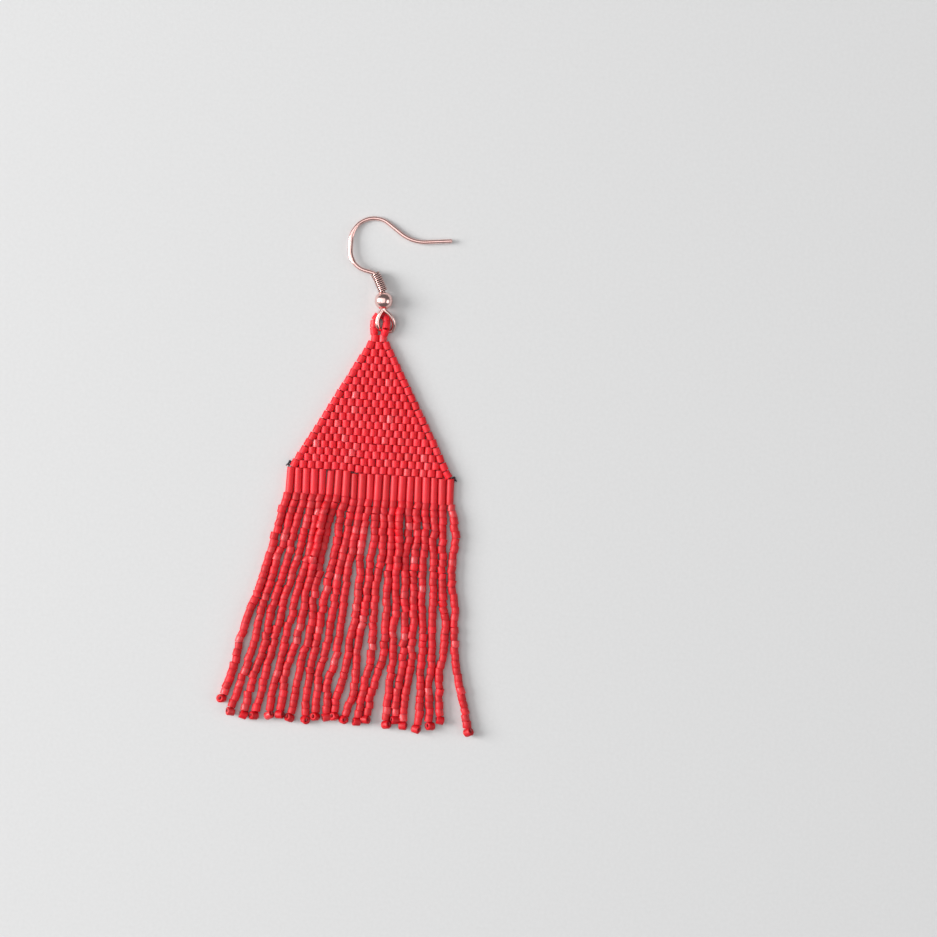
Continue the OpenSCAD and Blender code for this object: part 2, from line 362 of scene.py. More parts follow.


# %% [markdown]
# ## Red bead glass
#
# The beads are opaque red glass with a dull, slightly soft surface. They could be clear
# glass round a red core, but light would have to be traced through hundreds of them. A
# Principled shader that lets light spread a little way in gives the same soft red, and its
# colour can be baked.
#
# No two beads are quite alike: some are a little darker, and a few are shinier and paler, their
# paler colour being in part a painted highlight.
# Each bead keeps two numbers of its own at its corners, tone and shine, and a third, rim, is
# 1 at its ends. Colour, roughness and a fine grain are mixed from them, and the rim is painted
# a little darker, a painted shade where beads meet. The triangle, the loop and the bugle beads
# share one glass. The fringe has a copy of it, painted deeper and with less light spread in
# it: a painted shade for its loose strands, which lie in dimmer light than the flat weave.

# %% Red bead glass
BEAD_CLOUDS = 900.0
BEAD_GRAIN = 6000.0
# Painted shade: the darker red that the beads' ends are mixed to, where they meet
RIM_SHADE_RED = (0.45, 0.002, 0.006, 1)
# The paler red that shiny beads are mixed to, in part a painted highlight
PALE_HIGHLIGHT_RED = (0.95, 0.16, 0.18, 1)


def bead_glass(name, dark, bright, scatter):
    """Colour: dark to bright by tone and soft clouds, a little darker at the rim, a painted shade
    where beads meet, and paler where the bead shines, in part a painted highlight. Roughness:
    more with the grain, less with the shine. scatter is how far light spreads in the glass,
    in metres."""
    material, place = new_finish(name)
    tone = kept(material, "tone")
    shine = kept(material, "shine")
    rim = kept(material, "rim")
    cloud = noise(material, place, BEAD_CLOUDS)
    grain = noise(material, place, BEAD_GRAIN, detail=3.0)
    depth = (tone * 0.9 + cloud * 0.3 - 0.1).held()
    colour = mixed(depth, dark, bright)
    # Painted shade at the rim, where one bead meets the next
    colour = mixed(rim.step(0.3, 1.0) * 0.08, colour, RIM_SHADE_RED)
    # The few shiny beads are mixed paler, in part a painted highlight
    colour = mixed(shine * 0.24, colour, PALE_HIGHLIGHT_RED)
    roughness = (0.46 + grain * 0.12 - shine * 0.10).held()
    fixed = {"IOR": 1.46, "Coat Roughness": 0.34, "Subsurface Weight": 0.85,
             "Subsurface Radius": (1.0, 0.12, 0.12), "Subsurface Scale": scatter}
    return surface(material, fixed,
                   {"Base Color": colour, "Roughness": roughness, "Coat Weight": shine * 0.55},
                   height=grain + cloud * 0.5, bump=0.00002)


red_glass = bead_glass("red_bead_glass", dark=(0.62, 0.002, 0.008, 1),
                       bright=(0.90, 0.008, 0.024, 1), scatter=0.0012)
# A darker copy of the same glass: painted shade for the fringe's loose strands
fringe_shaded_glass = bead_glass("fringe_bead_glass", dark=(0.52, 0.002, 0.008, 1),
                          bright=(0.80, 0.006, 0.020, 1), scatter=0.0005)
print("made", red_glass.name, "and", fringe_shaded_glass.name, "with",
      len(red_glass.node_tree.nodes), "nodes each")

# %% [markdown]
# ## Beading thread and metal
#
# The thread is thin, waxed and dark red, and at the two lower corners of the triangle its
# ends are darker. Single fibres could be modelled, but a thread is a few pixels wide at
# most, so fine noise in its colour and bump does.
#
# The metal is a polished rose gold plating: fully metallic, with very fine scratches that
# only show in the highlights. Between the turns of the coil it is rougher, and its colour is
# painted dark brown there, a painted shade for the shadow between the turns. The coil keeps a
# number, groove, at its corners that says where, and the other metal pieces keep none, so
# they get no painted shade.

# %% Thread and metal
THREAD_FIBRES = 9000.0
METAL_CLOUDS = 350.0
METAL_SCRATCHES = 14000.0
ROSE_DEEP = (0.87, 0.54, 0.50, 1)
ROSE_PALE = (0.93, 0.65, 0.61, 1)
# Painted shade: the dark brown that the metal is mixed to between the coil's turns
GROOVE_SHADE_BROWN = (0.05, 0.015, 0.012, 1)


def thread_finish(name, dark, light):
    """Colour: between two tones by fine noise, which also gives the fibres their bump."""
    material, place = new_finish(name)
    fibres = noise(material, place, THREAD_FIBRES, detail=3.0, roughness=0.6)
    return surface(material, {"IOR": 1.45, "Sheen Weight": 0.1},
                   {"Base Color": mixed(fibres.step(0.35, 0.7), dark, light),
                    "Roughness": fibres * 0.3 + 0.45},
                   height=fibres, bump=0.00003)


def rose_gold():
    """Metal whose roughness and tint change in soft clouds, with fine scratches as bump. Where
    groove is above about a quarter it is rougher and painted dark brown, a painted shade
    between the coil's turns."""
    material, place = new_finish("polished_rose_gold")
    cloud = noise(material, place, METAL_CLOUDS, detail=3.0)
    scratch = noise(material, place, METAL_SCRATCHES, detail=4.0, roughness=0.7)
    groove = kept(material, "groove").step(0.02, 0.25)
    colour = mixed(cloud.step(0.3, 0.75), ROSE_DEEP, ROSE_PALE)
    # Painted shade between the coil's turns, where groove is high
    colour = mixed(groove, colour, GROOVE_SHADE_BROWN)
    roughness = 0.14 + cloud * 0.10 + scratch.step(0.55, 0.8) * 0.08 + groove * 0.2
    return surface(material, {"Metallic": 1.0}, {"Base Color": colour, "Roughness": roughness},
                   height=scratch, bump=0.000002)


red_thread = thread_finish("red_thread", dark=(0.16, 0.002, 0.006, 1),
                           light=(0.50, 0.02, 0.03, 1))
dark_thread = thread_finish("dark_thread", dark=(0.004, 0.003, 0.008, 1),
                            light=(0.03, 0.02, 0.04, 1))
gold = rose_gold()
print("made", red_thread.name + ",", dark_thread.name, "and", gold.name)

# %% [markdown]
# ## The ear wire
#
# One length of round wire. It starts inside the ball, goes round a closed loop below it, runs
# back up through the ball and the coil, makes a small kink, a wide bend over the ear, and
# ends in a straight tail. Its upper part could be a curve through measured points, but such
# a curve wobbles a little. A wire bender would note straight runs and bends, so the script
# does too: the heading changes evenly along each bend, and adding up short steps in the
# direction of the heading gives the line.

# %% Line of the bent wire
WIRE_R = 0.4
WIRE_STEP = 0.05
BALL_R = 1.8
BALL_HEADING = math.radians(94)
# Each: a straight run, then the radius of a bend and its turn to the left in degrees
WIRE_BENDS = [
    (1.45, 1.2, 22), (2.512, 5.88, 11), (0.0, 1.0, 40), (1.629, 4.162, -77),
    (2.0, 4.6, -126), (3.3, 7.3, 42), (5.2, 0.0, 0),
]
ball_low, ball_high = node_box("ball_bead")
ball_middle = (ball_low + ball_high) / 2


def bent_line(bends, heading):
    """Line of a wire in its flat plane. Heading is a broken line over the running length,
    and the place is the sum of all steps, each (cos heading, sin heading) long."""
    lengths, turns = [0.0], [heading]
    for run, radius, turn in bends:
        angle = math.radians(turn)
        lengths += [lengths[-1] + run, lengths[-1] + run + radius * abs(angle)]
        turns += [turns[-1], turns[-1] + angle]
    s = np.arange(0.0, lengths[-1], WIRE_STEP)
    middle = np.interp(s + WIRE_STEP / 2, lengths, turns)
    moves = WIRE_STEP * np.stack([np.cos(middle), np.sin(middle), 0 * s], axis=1)
    return np.vstack([[0, 0, 0], np.cumsum(moves, axis=0)])


def leaned(points, angle):
    """Points turned about the x axis, so that what is further up lies lower."""
    c, s = math.cos(angle), math.sin(angle)
    x, y, z = points.T
    return np.stack([x, y * c + z * s, z * c - y * s], axis=1)


flat_wire = bent_line(WIRE_BENDS, BALL_HEADING)
wire_lean = math.asin((BALL_R - WIRE_R) / flat_wire[:, 1].max())
print("the wire reaches", flat_wire[:, 1].max().round(2), "mm above the ball and leans",
      round(math.degrees(wire_lean), 2), "degrees")

# %% [markdown]
# The closed loop isn't flat: its right side lies over the beads that hang in it, so its
# places are given one by one. Loop and upper part are joined to one line, and one sweep
# makes the wire. The wide bend was pressed a little flat on one side, where the wire is
# wider.

# %% Ear wire
WIRE_SIDES = 20
# Places of the loop's wire, from the middle of the lowest row: out of the ball, down the left
# leg, along the bottom, and up the right leg into the ball
LOOP_WIRE = [
    (0.5, 32.7, 1.87), (0.45, 32.1, 1.93), (0.25, 31.55, 1.98), (-0.05, 31, 2.02),
    (-0.33, 30.3, 2), (-0.5, 29.5, 1.95), (-0.45, 28.7, 1.8), (-0.22, 28.2, 1.5),
    (0.05, 27.95, 1.1), (0.3, 27.85, 0.72), (0.65, 27.75, 0.48), (1.2, 27.7, 0.42),
    (1.8, 27.65, 0.42), (2.3, 27.75, 0.5), (2.65, 28.2, 0.72), (2.8, 29, 1.1),
    (2.6, 29.85, 1.45), (2.1, 30.65, 1.7), (1.5, 31.2, 1.85), (0.98, 31.6, 1.93),
    (0.72, 32.1, 1.93), (0.62, 32.6, 1.9),
]
# Running lengths past the loop where the pressed part begins, is full, and ends again
PRESSED = (10.5, 11.3, 16.8, 18.3)
PRESSED_WIDER = 0.22
PRESSED_FLATTER = 0.2

wire_above = leaned(flat_wire, wire_lean) + ball_middle
loop_line = smooth_curve(np.array(LOOP_WIRE) + base_middle)
wire_line = np.vstack([loop_line[::-1], wire_above])
past_loop = running_length(wire_line) - running_length(wire_line)[len(loop_line)]
pressed = np.interp(past_loop, PRESSED, (0, 1, 1, 0), left=0, right=0)
ear_wire = new_piece(
    "ear_wire", *swept(wire_line, WIRE_R, WIRE_SIDES, wide=1 + PRESSED_WIDER * pressed,
                       flat=1 - PRESSED_FLATTER * pressed),
    gold, "ear_wire", ["ear_hook"])
print("ear wire:", len(ear_wire.data.polygons), "faces on", running_length(wire_line)[-1].round(1),
      "mm of wire")

# %% [markdown]
# ## Shapes turned on a lathe
#
# The ball, the bugle beads and the seed beads are all an outline turned round an axis. A
# Screw modifier could turn one outline at a time. This helper turns many outlines at once,
# each round its own axis, so that hundreds of beads take a few array sums. A seed bead has
# only six outline points and twelve sides, and its shading directions make it look round.

# %% Helper for turned shapes
# An axis whose z part is larger than this counts as upright
UPRIGHT = 0.9


def turned(outlines, centres, axes, sides, rolls=0.0, slants=None, directions_out=None):
    """outlines[n, m] is (radius, height) of point m of shape n, going up outside and down
    inside. The place at angle a is centre + r (cos a across + sin a up) + h axis; a slant
    (s0, s1) adds r (s0 cos a + s1 sin a) to h, as a bead that was cut askew. Returns
    corners, faces, and the shading directions if the outline's own are given."""
    outlines = np.asarray(outlines, float)
    axes = unit(axes)
    shapes, marks = outlines.shape[:2]
    help_line = np.where(np.abs(axes[:, 2:3]) > UPRIGHT, [[1.0, 0.0, 0.0]], [[0.0, 0.0, 1.0]])
    across = unit(np.cross(help_line, axes))
    up = np.cross(axes, across)
    a = np.linspace(0, 2 * np.pi, sides, endpoint=False)[None, None, :]
    a = a + np.broadcast_to(rolls, (shapes,))[:, None, None]
    r = outlines[:, :, :1]
    h = outlines[:, :, 1:] + 0 * a
    if slants is not None:
        h = h + r * (slants[:, :1, None] * np.cos(a) + slants[:, 1:, None] * np.sin(a))
    spokes = (np.cos(a)[..., None] * across[:, None, None, :]
              + np.sin(a)[..., None] * up[:, None, None, :])
    lengthwise = axes[:, None, None, :]
    points = centres[:, None, None, :] + r[..., None] * spokes + h[..., None] * lengthwise
    n, m, k = np.meshgrid(np.arange(shapes), np.arange(marks), np.arange(sides),
                          indexing="ij")
    here, above = (n * marks + m) * sides, (n * marks + (m + 1) % marks) * sides
    beside = (k + 1) % sides
    faces = np.stack([here + k, here + beside, above + beside, above + k], axis=-1)
    normals = None
    if directions_out is not None:
        o = unit(directions_out)[None, :, None, :]
        normals = (o[..., :1] * spokes + o[..., 1:] * lengthwise).reshape(-1, 3)
    return points.reshape(-1, 3), [faces.reshape(-1, 4)], normals


washer_outline = [[(2, -0.5), (2, 0.5), (1, 0.5), (1, -0.5)]]
washer_points, washer_faces, _ = turned(washer_outline, np.zeros((1, 3)), [(0, 0, 1)], 12)
print("a washer has", len(washer_points), "corners and", len(washer_faces[0]), "faces")

# %% [markdown]
# ## The ball
#
# The ball is a drilled metal bead whose hole has a soft rim. It could be a sphere with a
# hole cut by a Boolean modifier, but that leaves long thin faces that shade badly. A turned
# outline gives even faces, and the rim is part of it.

# %% Ball
BALL_HOLE_R = 0.75
BALL_RIM = 0.16
BALL_RIM_STEPS = 5
BALL_STEPS = 36
BALL_SIDES = 56


def ball_outline(radius, hole, rim):
    """Out of the hole, over the ball and back into the hole. The ball is (r sin a, r cos a);
    the rim is an arc of a parabola between the ball and the hole's wall."""
    start = math.asin((hole + rim) / radius)
    a = np.linspace(np.pi - start, start, BALL_STEPS)
    ball = np.stack([radius * np.sin(a), radius * np.cos(a)], axis=1)
    hole_height = math.sqrt(radius ** 2 - hole ** 2)
    t = np.linspace(0, 1, BALL_RIM_STEPS + 1)[1:, None]
    corner, wall = np.array([[hole, hole_height]]), np.array([[hole, hole_height - rim]])
    top_rim = (1 - t) ** 2 * ball[-1:] + 2 * t * (1 - t) * corner + t ** 2 * wall
    bottom_rim = top_rim[::-1] * [1, -1]
    return np.vstack([ball, top_rim, bottom_rim])


ball_axis = directions(wire_above[:3])[:1]
ball_points, ball_faces, _ = turned(
    ball_outline(BALL_R, BALL_HOLE_R, BALL_RIM)[None], ball_middle[None], ball_axis, BALL_SIDES)
ball = new_piece("ball", ball_points, ball_faces, gold, "ball", ["ball_bead"])
print("ball:", len(ball.data.polygons), "faces")

# %% [markdown]
# ## The coil
#
# Above the ball a thin wire is wound round the ear wire. It could be a plain screw shape bent
# by a Curve modifier. Here the coil's middle line is worked out round the first bends of the
# ear wire, so its turns open a little on the outside of a bend, as a real coil's do, and they
# aren't quite even, as they were wound by hand.

# %% Coil
COIL_WIRE_R = 0.165
COIL_SIDES = 12
COIL_R = 0.8
COIL_PITCH = 0.40
COIL_TURNS = 10
COIL_STEPS = 28
COIL_START = 1.92
# Waves in the spacing of the turns: size in mm, pace and start
COIL_UNEVEN = [(0.012, 0.37, 0.0), (0.008, 0.83, 1.0)]
# The wire's first two bends, and the second one carried on where the wire has its kink
COIL_BENDS = WIRE_BENDS[:2] + [(0.0, WIRE_BENDS[1][1], 8)]


def coil_line(turns, steps):
    """Middle of the coil's wire, and the outward direction at it: from the core line it
    stands off by its radius, in the direction cos(a) side + sin(a) up, where a turns round
    once for each pitch."""
    turn = np.linspace(0, 2 * np.pi * turns, int(turns * steps))
    length = COIL_START + COIL_PITCH * turn / (2 * np.pi)
    for size, pace, start in COIL_UNEVEN:
        length = length + size * np.sin(turn * pace + start)
    core = bent_line(COIL_BENDS, BALL_HEADING)
    side = resampled(np.cross(UP, directions(core)), running_length(core), length)
    outward = side * np.cos(turn)[:, None] + UP * np.sin(turn)[:, None]
    return at_lengths(core, length) + COIL_R * outward, outward


coil_middle, coil_outward = coil_line(COIL_TURNS, COIL_STEPS)
coil_points, coil_faces = swept(leaned(coil_middle, wire_lean) + ball_middle, COIL_WIRE_R,
                                COIL_SIDES, outward=leaned(coil_outward, wire_lean))
# The metal is painted dark brown where this is high, a painted shade between the turns
# 0 on the outside of each turn, 0.5 where it faces the next turn, 1 on the inside
coil_groove = 0.5 - 0.5 * np.cos(2 * np.pi * np.arange(COIL_SIDES) / COIL_SIDES)
coil = new_piece("coil", coil_points, coil_faces, gold, "coil", ["coil_wrap"],
                 {"groove": np.tile(coil_groove, len(coil_points) // COIL_SIDES)})
print("coil:", COIL_TURNS, "turns,", len(coil.data.polygons), "faces")

# %% [markdown]
# ## Seed beads
#
# A cylinder bead is cut from a glass tube: straight sides, flat ends with a small round
# edge, and a wide hole. Its outline is six points. All beads could be copies of one, but
# then the weave would look printed. So every bead gets its own thickness, length, askew
# ends and glass tone.

# %% Outline of a seed bead
BEAD_SIDES = 12
BEAD_HOLE_R = 0.32
# Of the six outline points: 0 on the wall, 1 at the ends and in the hole
RIM_MARKS = np.array([0, 0, 1, 1, 1, 1.0])
# Shading directions of a small round edge, and of the hole's rim
SMALL_EDGE = (0.5, 0.85)
HOLE_EDGE = (-0.6, 0.8)


def bead_outlines(radii, halves, e):
    """Six outline points for each bead, (radius, height), from its radius r, its half
    length h and the width e of its round edges: the wall, the top's edge and hole, the
    bottom's hole and edge."""
    r, h, hole = radii, halves, np.full_like(radii, BEAD_HOLE_R)
    marks = [(r, e - h), (r, h - e), (r - e, h), (hole, h), (hole, -h), (r - e, -h)]
    return np.stack([np.stack(mark, axis=1) for mark in marks], axis=1)


def outline_normals(bulge, top=SMALL_EDGE):
    """Shading directions of the six outline points. The wall's two lean apart by bulge, so
    that it looks straight where bulge is small, and like a barrel's where it is larger. top
    is the direction at the top's edge, nearer the axis for a flat end with a crisp edge and
    further out for a soft one, and the bottom mirrors it."""
    return np.array([(1, -bulge), (1, bulge), top, HOLE_EDGE, (HOLE_EDGE[0], -HOLE_EDGE[1]),
                     (top[0], -top[1])])


one_bead = bead_outlines(np.array([0.8]), np.array([0.7]), 0.05)
print("outline of one bead, radius and height:", one_bead[0].round(2).tolist())

# %% Helpers for seed beads
BEAD_EDGE = 0.03
BEAD_BULGE = 0.1
# How far beads vary: thickness and length as parts of them, and the slant of their ends
WIDTH_SPREAD = 0.018
LENGTH_SPREAD = 0.02
END_SLANT = 0.03
USUAL_TONE = 0.7
TONE_FOCUS = 5
SHINE_RARITY = 12


def spread(*shape):
    """Chance numbers round 0, most of them within 1, held within 2."""
    return chance.standard_normal(shape).clip(-2, 2)


def bead_values(beads, usual_tone=USUAL_TONE, rarity=SHINE_RARITY):
    """Numbers that each bead keeps at its corners: its tone, how much it shines, which is a
    high power of an even chance, so that few beads shine a lot, and its rim."""
    tone = chance.beta(TONE_FOCUS * usual_tone, TONE_FOCUS * (1 - usual_tone), beads)
    shine = chance.random(beads) ** rarity
    corners = len(RIM_MARKS) * BEAD_SIDES
    return {
        "tone": np.repeat(tone, corners),
        "shine": np.repeat(shine, corners),
        "rim": np.tile(np.repeat(RIM_MARKS, BEAD_SIDES), beads),
    }


def on_table(centres, axes, radii, halves):
    """Lifts each bead that would dip into the table. Below its centre it reaches half its
    length times the slope of its axis, and its radius times the level part of it."""
    slope = np.abs(unit(axes)[:, 2])
    lifted = centres.copy()
    lifted[:, 2] = np.maximum(centres[:, 2], halves * slope + radii * np.sqrt(1 - slope ** 2))
    return lifted


def bead_piece(name, centres, axes, radius, half, stands_for):
    """A piece of beads at centres along axes. Radius and half length vary by about 2 in 100,
    the ends lean by about 3 in 100, and each bead is turned by chance on its thread."""
    count = len(centres)
    radii = radius * (1 + WIDTH_SPREAD * spread(count))
    halves = half * (1 + LENGTH_SPREAD * spread(count))
    slants = END_SLANT * spread(count, 2)
    rolls = chance.uniform(0, 2 * np.pi, count)
    centres = on_table(centres, axes, radii, halves)
    points, faces, normals = turned(bead_outlines(radii, halves, BEAD_EDGE), centres, axes,
                                    BEAD_SIDES, rolls, slants, outline_normals(BEAD_BULGE))
    return new_piece(name, points, faces, red_glass, "seed_beads", [stands_for],
                     bead_values(count), normals)


leaning_bead = on_table(np.zeros((1, 3)), [(0, 1, 1)], 0.8, 0.7)
print("a bead that leans by 45 degrees has its middle", leaning_bead[0, 2].round(2), "mm up")

# %% [markdown]
# ## The woven triangle
#
# Brick stitch puts the beads of each row over the gaps of the row below. So row k has k
# beads fewer, and each row is centred over the base. All holes point up the earring. The
# triangle could be one sheet with the weave as bump, but it would look flat from the side,
# and light would not fall between the beads.
#
# A weaver never gets it perfectly even: beads shift by a few hundredths of a millimetre and
# tilt by a degree or two, and the whole base has a small step after its eighth bead. The
# first and the last bead of a row lean towards the top, along the triangle's side.

# %% Rows of the triangle
BEAD_PITCH = 1.6
ROW_PITCH = 1.45
BASE_BEADS = 20
TOP_BEADS = 2
STEP_AFTER = 8
STEP_Y = 0.2
STEP_ROWS = 5


def base_step(x, row=0):
    """How far the weave lies above or below its line at x, in mm from the base's middle: up
    to the left of the step, down to the right of it, and less with each row."""
    step_x = (STEP_AFTER - BASE_BEADS / 2) * BEAD_PITCH
    side = np.clip((x - step_x) / BEAD_PITCH, -1, 1)
    return -STEP_Y * side * np.clip(1 - row / STEP_ROWS, 0, 1)


rows = range(BASE_BEADS - TOP_BEADS + 1)
row_of = np.concatenate([np.full(BASE_BEADS - k, k) for k in rows])
in_row = np.concatenate([np.arange(BASE_BEADS - k) for k in rows])
panel_x = (in_row - (BASE_BEADS - row_of - 1) / 2) * BEAD_PITCH
panel_y = row_of * ROW_PITCH + base_step(panel_x, row_of)
# 1 at the left end of a row, -1 at its right end, 0 elsewhere and in the top row
side_of = np.where(in_row == 0, 1.0, 0.0) - np.where(in_row == BASE_BEADS - row_of - 1, 1.0, 0.0)
side_of = side_of * (row_of < BASE_BEADS - TOP_BEADS)
print("triangle:", len(rows), "rows,", np.count_nonzero(side_of), "beads along its sides")

# %% Beads of the triangle
PANEL_BEAD_R = 0.81
PANEL_BEAD_HALF = 0.727
SIDE_TILT = math.radians(22.5)
SIDE_THIN = 0.97
SIDE_LONG = 1.03
SIDE_SHIFT = 0.02
CORNER_TILT = math.radians(36)
PANEL_UNEVEN = [0.02, 0.03, 0.03]
PANEL_LEAN = 0.03

panel_centres = base_middle + np.stack(
    [panel_x - SIDE_SHIFT * side_of, panel_y, np.full(len(panel_x), PANEL_BEAD_R)], axis=1)
panel_centres += spread(*panel_centres.shape) * PANEL_UNEVEN
panel_lean = side_of * SIDE_TILT + chance.normal(0, PANEL_LEAN, len(side_of))
panel_lean[BASE_BEADS - 1] = -CORNER_TILT
panel_axes = np.stack([np.sin(panel_lean), np.cos(panel_lean),
                       chance.normal(0, PANEL_LEAN, len(side_of))], axis=1)
panel = bead_piece("panel_beads", panel_centres, panel_axes,
                   PANEL_BEAD_R * np.where(side_of == 0, 1, SIDE_THIN),
                   PANEL_BEAD_HALF * np.where(side_of == 0, 1, SIDE_LONG), "brick_stitch_panel")
print("triangle:", len(panel_centres), "beads,", len(panel.data.polygons), "faces")

# %% [markdown]
# Between two rows the thread bridges from hole to hole. It is hidden for the most part. It
# could be left out, but it fills the slit between the rows with its dark red, where the pale
# table would shine through. Along both sides it goes out of one edge bead and into the next.

# %% Threads of the triangle
THREAD_R = 0.11
THREAD_SIDES = 6
BRIDGE_STEPS = 8
BRIDGE_WAVE = 0.16
SIDE_THREAD_R = 0.3
SIDE_THREAD_SIDES = 8


def row_bridge(row, radius=THREAD_R):
    """Thread over one row: straight from its first hole to its last, waving up and down
    once for each bead."""
    beads_across = BASE_BEADS - row - 1
    reach = beads_across * BEAD_PITCH / 2
    x = np.linspace(-reach, reach, BRIDGE_STEPS * beads_across + 1)
    wave = BRIDGE_WAVE * np.sin(2 * np.pi * (x + reach) / BEAD_PITCH + row)
    y = (row + 0.5) * ROW_PITCH + base_step(x, row)
    line = np.stack([x, y, PANEL_BEAD_R + wave], axis=1)
    return swept(line + base_middle, radius, THREAD_SIDES)


def side_thread(side):
    """Thread up one side, 1 for the left and -1 for the right: straight through the holes
    of the edge beads, from the lower end to the upper end of each."""
    on_side = side_of == side
    reach = panel_axes[on_side] * PANEL_BEAD_HALF
    line = np.stack([panel_centres[on_side] - reach, panel_centres[on_side] + reach], axis=1)
    return swept(line.reshape(-1, 3), SIDE_THREAD_R, SIDE_THREAD_SIDES)


thread_parts = [row_bridge(row) for row in rows[:-1]]
thread_parts += [row_bridge(-1, 2 * THREAD_R)]
thread_parts += [side_thread(1), side_thread(-1)]
panel_threads = new_piece("panel_threads", *joined(thread_parts), red_thread, "seed_beads")
print("threads of the triangle:", len(thread_parts), "runs,",
      len(panel_threads.data.polygons), "faces")

# %% [markdown]
# ## The bead loop
#
# Seven beads on a thread go from the left top bead of the triangle through the wire loop
# and down to the right one. An Array modifier along a curve could set them. With the line
# as an array, equal lengths along it give each bead's two ends, and so its middle and its
# direction. The route is the same as the CAD tube's.

# %% Bead loop
# Places on the loop's route, from the middle of the lowest row: up its left side and down
# its right side
LOOP_ROUTE = [
    (-1.0, 26.84, 0.75), (-1.12, 27.6, 0.75), (-1.25, 28.5, 0.75), (-1.25, 29.3, 0.75),
    (-1.0, 30.1, 0.75), (-0.5, 30.75, 0.75), (0.15, 31, 0.78), (0.8, 30.8, 0.88),
    (1.2, 30.2, 1.08), (1.38, 29.4, 1.38), (1.38, 28.6, 1.63), (1.28, 27.9, 1.73),
    (1.12, 27.4, 1.5), (1.0, 26.84, 1.1),
]
LOOP_BEADS = 7
LOOP_BEAD_R = 0.75
LOOP_HALF_GAP = 0.015

loop_thread_line = smooth_curve(np.array(LOOP_ROUTE) + base_middle)
loop_length = running_length(loop_thread_line)[-1]
loop_joints = at_lengths(loop_thread_line, np.linspace(0, loop_length, LOOP_BEADS + 1))
loop_beads = bead_piece("loop_beads", (loop_joints[1:] + loop_joints[:-1]) / 2,
                        np.diff(loop_joints, axis=0), LOOP_BEAD_R,
                        loop_length / LOOP_BEADS / 2 - LOOP_HALF_GAP, "hanging_loop")
loop_thread = new_piece("loop_thread", *swept(loop_thread_line, THREAD_R, THREAD_SIDES),
                        red_thread, "seed_beads")
print("bead loop:", LOOP_BEADS, "beads on", round(loop_length, 2), "mm,",
      len(loop_beads.data.polygons) + len(loop_thread.data.polygons), "faces with its thread")

# %% [markdown]
# ## Bugle beads
#
# Twenty-one longer tubes stand under the triangle. Their cut ends are fire polished, so the
# edges are round. They could be one tube with an Array modifier, but no two in a real
# handful are alike, and the uneven row is easy to see. So a short chart holds the width,
# the lean and the height of each, and the same lathe turns them.

# %% Bugle beads
STRANDS = 21
BUGLE_USUAL_R = 0.785
BUGLE_HOLE_R = 0.4
BUGLE_HOLE_DIP = 0.02
BUGLE_EDGE = 0.12
BUGLE_EDGE_STEPS = 5
BUGLE_SIDES = 24
# How far the beads vary beyond the chart: length, tilt out of the table, slant of the ends
BUGLE_LENGTH_SPREAD = 0.008
BUGLE_TILT = 0.004
BUGLE_SLANT = 0.05
# Every bugle shines a little, so it also gets a little of the paler colour that is in part a
# painted highlight
BUGLE_SHINE = 0.1
BUGLE_TONE_FOCUS = 3
# Read off the real row from left to right: width as a part of the usual one, lean in
# degrees (positive where the lower end lies further left), and height above its place
BUGLE_CHART = [
    (1.00, 1.5, 0.0), (0.98, -1.2, 0.05), (1.00, -1.1, 0.05), (1.03, -1.4, 0.0),
    (0.93, -1.0, 0.0), (0.93, 1.8, -0.15), (0.98, 1.2, 0.05), (1.06, 0.2, -0.05),
    (0.88, -0.8, -0.3), (1.04, -0.7, 0.05), (0.97, -1.0, 0.0), (1.05, 0.3, -0.05),
    (0.95, -0.5, 0.0), (0.95, -0.5, 0.0), (1.05, 0.0, 0.05), (0.98, -0.1, 0.0),
    (1.00, -1.5, 0.05), (1.05, -1.8, 0.0), (0.96, -1.5, 0.0), (1.03, -2.0, -0.05),
    (0.98, -1.5, 0.0),
]


def bugle_outline(radius, half):
    """Up the wall, round the top edge in steps of a quarter circle, down the hole and round
    the bottom edge."""
    a = np.linspace(0, np.pi / 2, BUGLE_EDGE_STEPS + 1)
    top = np.stack([radius - BUGLE_EDGE * (1 - np.cos(a)),
                    half - BUGLE_EDGE * (1 - np.sin(a))], axis=1)
    hole = np.array([[BUGLE_HOLE_R, half - BUGLE_HOLE_DIP],
                     [BUGLE_HOLE_R, BUGLE_HOLE_DIP - half]])
    return np.vstack([top, hole, top[::-1] * [1, -1]])


def bugle(number):
    """One bugle bead in the place of its CAD node; gives back the middle of its lower end."""
    low, high = node_box(f"bugle_{number:02d}")
    width, lean, rise = BUGLE_CHART[number - 1]
    radius = BUGLE_USUAL_R * width
    half = (high[1] - low[1]) / 2 * (1 + chance.normal(0, BUGLE_LENGTH_SPREAD))
    centre = (low + high) / 2
    centre[1] += base_step(centre[0] - base_middle[0]) + rise
    centre[2] = 0.0
    lean = math.radians(lean)
    axis = unit([math.sin(lean), math.cos(lean), chance.normal(0, BUGLE_TILT)])
    centre = on_table(centre[None], axis[None], radius, half)[0]
    slants = chance.normal(0, BUGLE_SLANT, (1, 2))
    points, faces, _ = turned(bugle_outline(radius, half)[None], centre[None], axis[None],
                              BUGLE_SIDES, slants=slants)
    count = len(points)
    values = {"tone": np.full(count, chance.beta(BUGLE_TONE_FOCUS, BUGLE_TONE_FOCUS)),
              "shine": np.full(count, BUGLE_SHINE), "rim": np.zeros(count)}
    new_piece(f"bugle_bead_{number:02d}", points, faces, red_glass, "bugle_beads",
              [f"bugle_{number:02d}"], values)
    return centre - axis * half


bugle_ends = np.array([bugle(number) for number in range(1, STRANDS + 1)])
bugle_widths = 2 * BUGLE_USUAL_R * np.array(BUGLE_CHART)[:, 0]
bugle_gaps = np.diff(bugle_ends[:, 0]) - (bugle_widths[1:] + bugle_widths[:-1]) / 2
print("bugle beads:", len(bugle_ends), "with gaps of", bugle_gaps.round(2),
      "mm at their lower ends")

